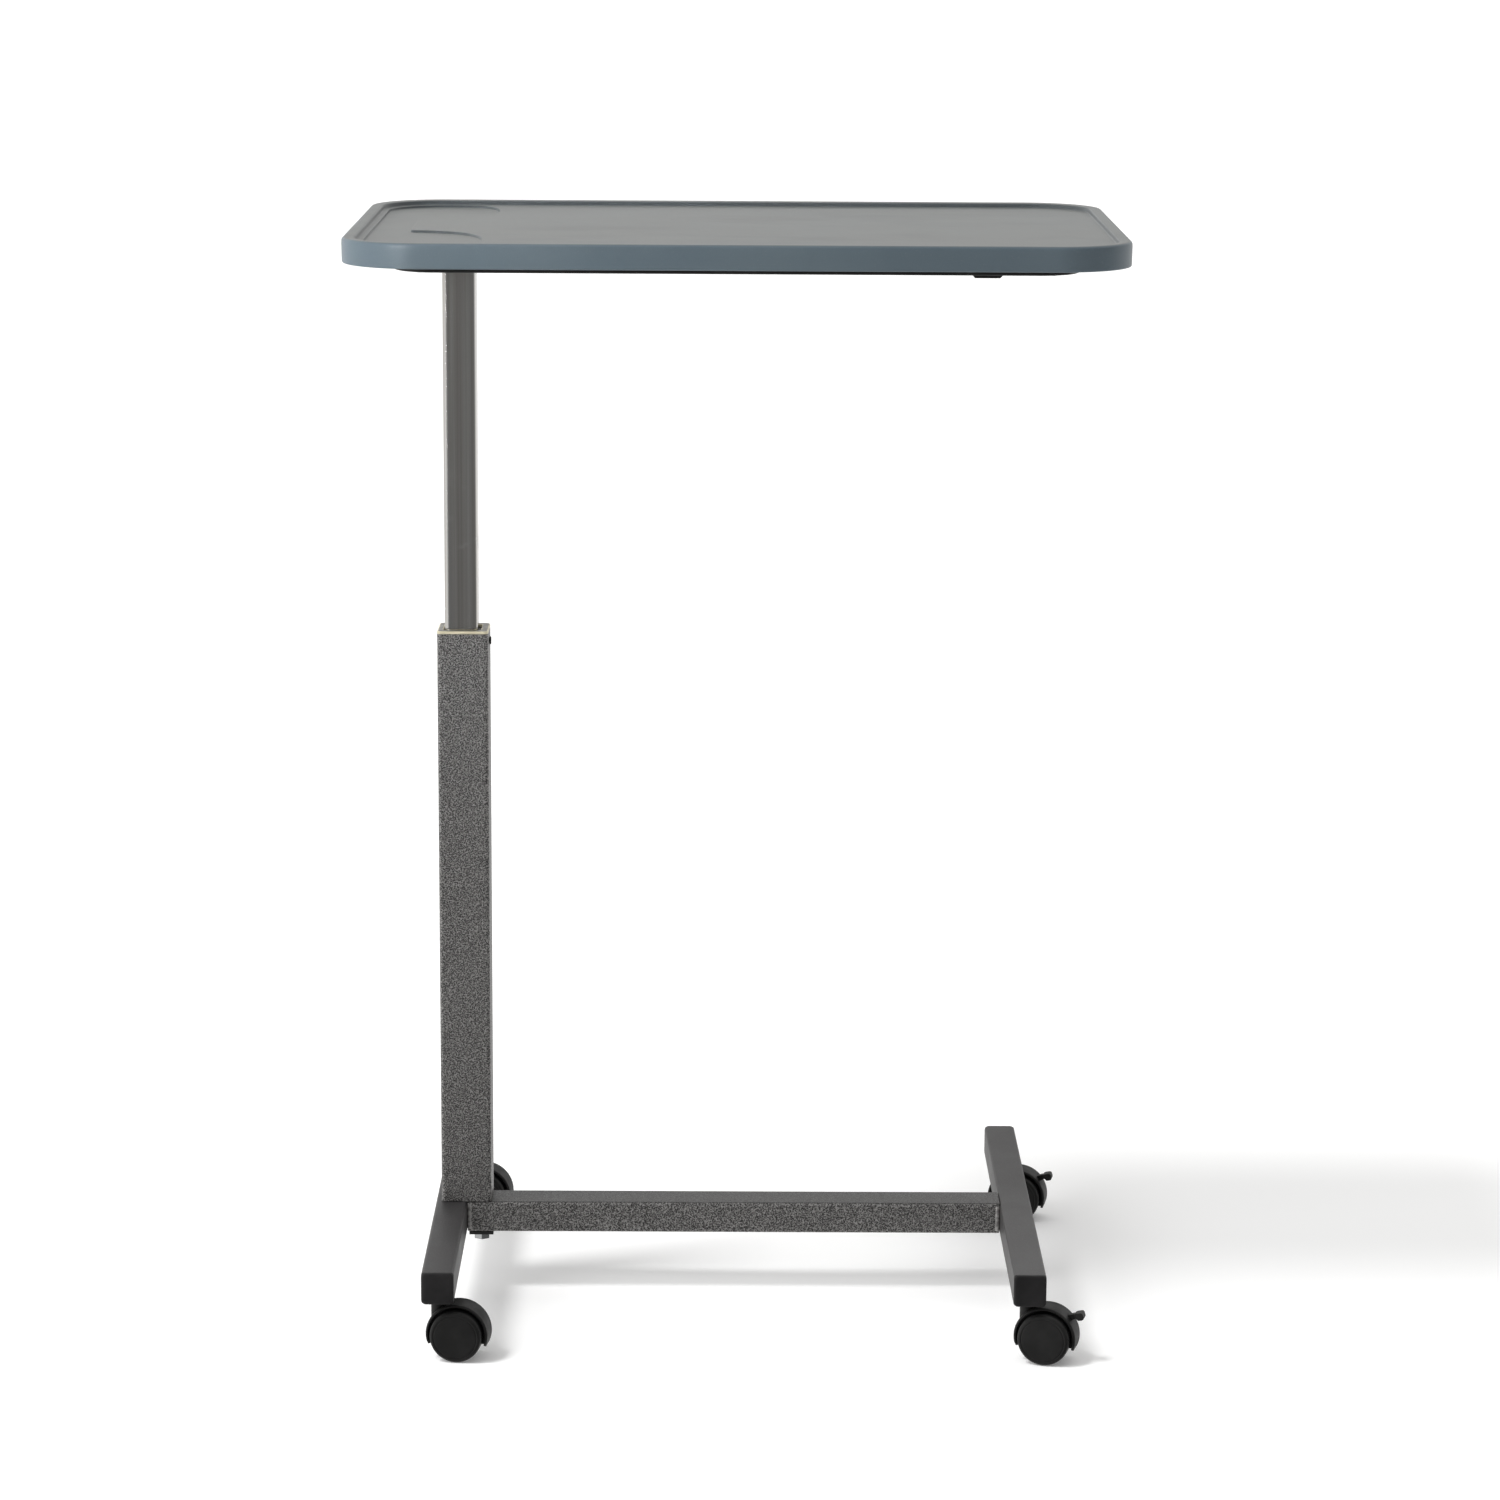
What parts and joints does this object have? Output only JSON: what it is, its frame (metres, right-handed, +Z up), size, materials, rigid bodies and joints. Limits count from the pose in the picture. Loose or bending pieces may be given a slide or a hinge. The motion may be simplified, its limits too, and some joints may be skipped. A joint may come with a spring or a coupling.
{
  "type": "overbed table",
  "caption": "Height-adjustable overbed table: moulded tray top on an offset telescopic mast over a low H-shaped base with twin-wheel casters.",
  "frame": {"origin": "on the floor, midway along the tabletop and between the ends of the feet", "axes": "+X along the tabletop away from the column, +Y along the feet towards the back, +Z up"},
  "size_m": [0.75, 0.5186, 1.096],
  "materials": {
    "tray_plastic": "blue-grey moulded plastic, satin",
    "black_plastic": "black moulded plastic",
    "cap_plastic": "near-black moulded plastic",
    "hammertone": "dark grey hammertone powder coat",
    "satin_grey": "dark grey satin coat",
    "polished_steel": "polished steel tube",
    "gold_metal": "gold-coloured plating",
    "chrome": "bright chrome",
    "zinc": "zinc plated steel",
    "black_steel": "black painted steel",
    "white_nylon": "natural nylon",
    "caster_nylon": "black nylon"
  },
  "bodies": {
    "base": {"left_foot": "satin_grey", "right_foot": "satin_grey", "cross_bar": "hammertone", "outer_column": "hammertone", "column_base_plate": "zinc", "clamp_plate": "black_steel", "bar_bolt": "chrome", "foot_bolt": "zinc", "collar": "gold_metal", "collar_screw": "black_steel", "upper_glide": "white_nylon", "gas_cylinder": "black_steel", "foot_cap_front_left": "cap_plastic", "foot_cap_front_right": "cap_plastic", "foot_cap_rear_left": "cap_plastic", "foot_cap_rear_right": "cap_plastic", "caster_stem_front_left": "zinc", "caster_stem_front_right": "zinc", "caster_stem_rear_left": "zinc", "caster_stem_rear_right": "zinc"},
    "mast": {"mast_tube": "polished_steel", "mast_glide": "white_nylon", "mast_head": "black_steel", "gas_rod": "chrome", "rod_nut": "zinc", "support_frame": "black_steel", "bottom_pan": "black_plastic", "tabletop_tray": "tray_plastic", "shaft_bearing_left": "white_nylon", "shaft_bearing_right": "white_nylon", "lever_spring": "zinc", "top_screw_front_left": "zinc", "top_screw_front_right": "zinc", "top_screw_rear_left": "zinc", "top_screw_rear_right": "zinc", "pan_screw_front_left": "zinc", "pan_screw_front_right": "zinc", "pan_screw_rear_left": "zinc", "pan_screw_rear_right": "zinc"},
    "release_pin": {"release_pin": "chrome"},
    "release_lever": {"lever_shaft": "zinc", "lever_handle": "black_plastic"},
    "caster_front_left": {"caster_hood_front_left": "caster_nylon", "caster_axle_front_left": "zinc"},
    "wheel_near_front_left": {"wheel_near_front_left": "caster_nylon"},
    "wheel_far_front_left": {"wheel_far_front_left": "caster_nylon"},
    "caster_front_right": {"caster_hood_front_right": "caster_nylon", "caster_axle_front_right": "zinc"},
    "wheel_near_front_right": {"wheel_near_front_right": "caster_nylon"},
    "wheel_far_front_right": {"wheel_far_front_right": "caster_nylon"},
    "brake_front_right": {"brake_lever_front_right": "caster_nylon"},
    "caster_rear_left": {"caster_hood_rear_left": "caster_nylon", "caster_axle_rear_left": "zinc"},
    "wheel_near_rear_left": {"wheel_near_rear_left": "caster_nylon"},
    "wheel_far_rear_left": {"wheel_far_rear_left": "caster_nylon"},
    "caster_rear_right": {"caster_hood_rear_right": "caster_nylon", "caster_axle_rear_right": "zinc"},
    "wheel_near_rear_right": {"wheel_near_rear_right": "caster_nylon"},
    "wheel_far_rear_right": {"wheel_far_rear_right": "caster_nylon"},
    "brake_rear_right": {"brake_lever_rear_right": "caster_nylon"}
  },
  "joints": [
    {"name": "height", "type": "slide", "parent": "base", "child": "mast", "axis": [0, 0, 1], "range_m": [-0.34, 0]},
    {"name": "release_lever", "type": "hinge", "parent": "mast", "child": "release_lever", "pos_m": [-0.02, -0.03, 1.08], "axis": [-1, 0, 0], "range_deg": [0, 3.5], "stiffness_Nm_per_rad": 1.5, "springref_deg": -5.73},
    {"name": "release_pin", "type": "slide", "parent": "mast", "child": "release_pin", "axis": [0, 0, -1], "range_m": [0, 0.0019]},
    {"name": "swivel_front_left", "type": "hinge", "parent": "base", "child": "caster_front_left", "pos_m": [-0.2877, -0.229, 0.055], "axis": [0, 0, 1], "continuous": true},
    {"name": "roll_near_front_left", "type": "hinge", "parent": "caster_front_left", "child": "wheel_near_front_left", "pos_m": [-0.26849, -0.2317, 0.0258], "axis": [0.1392, 0.9903, 0], "continuous": true},
    {"name": "roll_far_front_left", "type": "hinge", "parent": "caster_front_left", "child": "wheel_far_front_left", "pos_m": [-0.26849, -0.2317, 0.0258], "axis": [0.1392, 0.9903, 0], "continuous": true},
    {"name": "swivel_front_right", "type": "hinge", "parent": "base", "child": "caster_front_right", "pos_m": [0.2916, -0.229, 0.055], "axis": [0, 0, 1], "continuous": true},
    {"name": "roll_near_front_right", "type": "hinge", "parent": "caster_front_right", "child": "wheel_near_front_right", "pos_m": [0.31025, -0.23435, 0.0258], "axis": [0.2756, 0.9613, 0], "continuous": true},
    {"name": "roll_far_front_right", "type": "hinge", "parent": "caster_front_right", "child": "wheel_far_front_right", "pos_m": [0.31025, -0.23435, 0.0258], "axis": [0.2756, 0.9613, 0], "continuous": true},
    {"name": "brake_front_right", "type": "hinge", "parent": "caster_front_right", "child": "brake_front_right", "pos_m": [0.32899, -0.23972, 0.0433], "axis": [0.2756, 0.9613, 0], "range_deg": [0, 18]},
    {"name": "swivel_rear_left", "type": "hinge", "parent": "base", "child": "caster_rear_left", "pos_m": [-0.2877, 0.229, 0.055], "axis": [0, 0, 1], "continuous": true},
    {"name": "roll_near_rear_left", "type": "hinge", "parent": "caster_rear_left", "child": "wheel_near_rear_left", "pos_m": [-0.26841, 0.22697, 0.0258], "axis": [0.1045, 0.9945, 0], "continuous": true},
    {"name": "roll_far_rear_left", "type": "hinge", "parent": "caster_rear_left", "child": "wheel_far_rear_left", "pos_m": [-0.26841, 0.22697, 0.0258], "axis": [0.1045, 0.9945, 0], "continuous": true},
    {"name": "swivel_rear_right", "type": "hinge", "parent": "base", "child": "caster_rear_right", "pos_m": [0.2916, 0.229, 0.055], "axis": [0, 0, 1], "continuous": true},
    {"name": "roll_near_rear_right", "type": "hinge", "parent": "caster_rear_right", "child": "wheel_near_rear_right", "pos_m": [0.31058, 0.22497, 0.0258], "axis": [0.2079, 0.9781, 0], "continuous": true},
    {"name": "roll_far_rear_right", "type": "hinge", "parent": "caster_rear_right", "child": "wheel_far_rear_right", "pos_m": [0.31058, 0.22497, 0.0258], "axis": [0.2079, 0.9781, 0], "continuous": true},
    {"name": "brake_rear_right", "type": "hinge", "parent": "caster_rear_right", "child": "brake_rear_right", "pos_m": [0.32965, 0.22091, 0.0433], "axis": [0.2079, 0.9781, 0], "range_deg": [0, 18]}
  ],
  "couplings": [
    {"joint": "release_pin", "follows": "release_lever", "m_per_rad": 0.03}
  ]
}
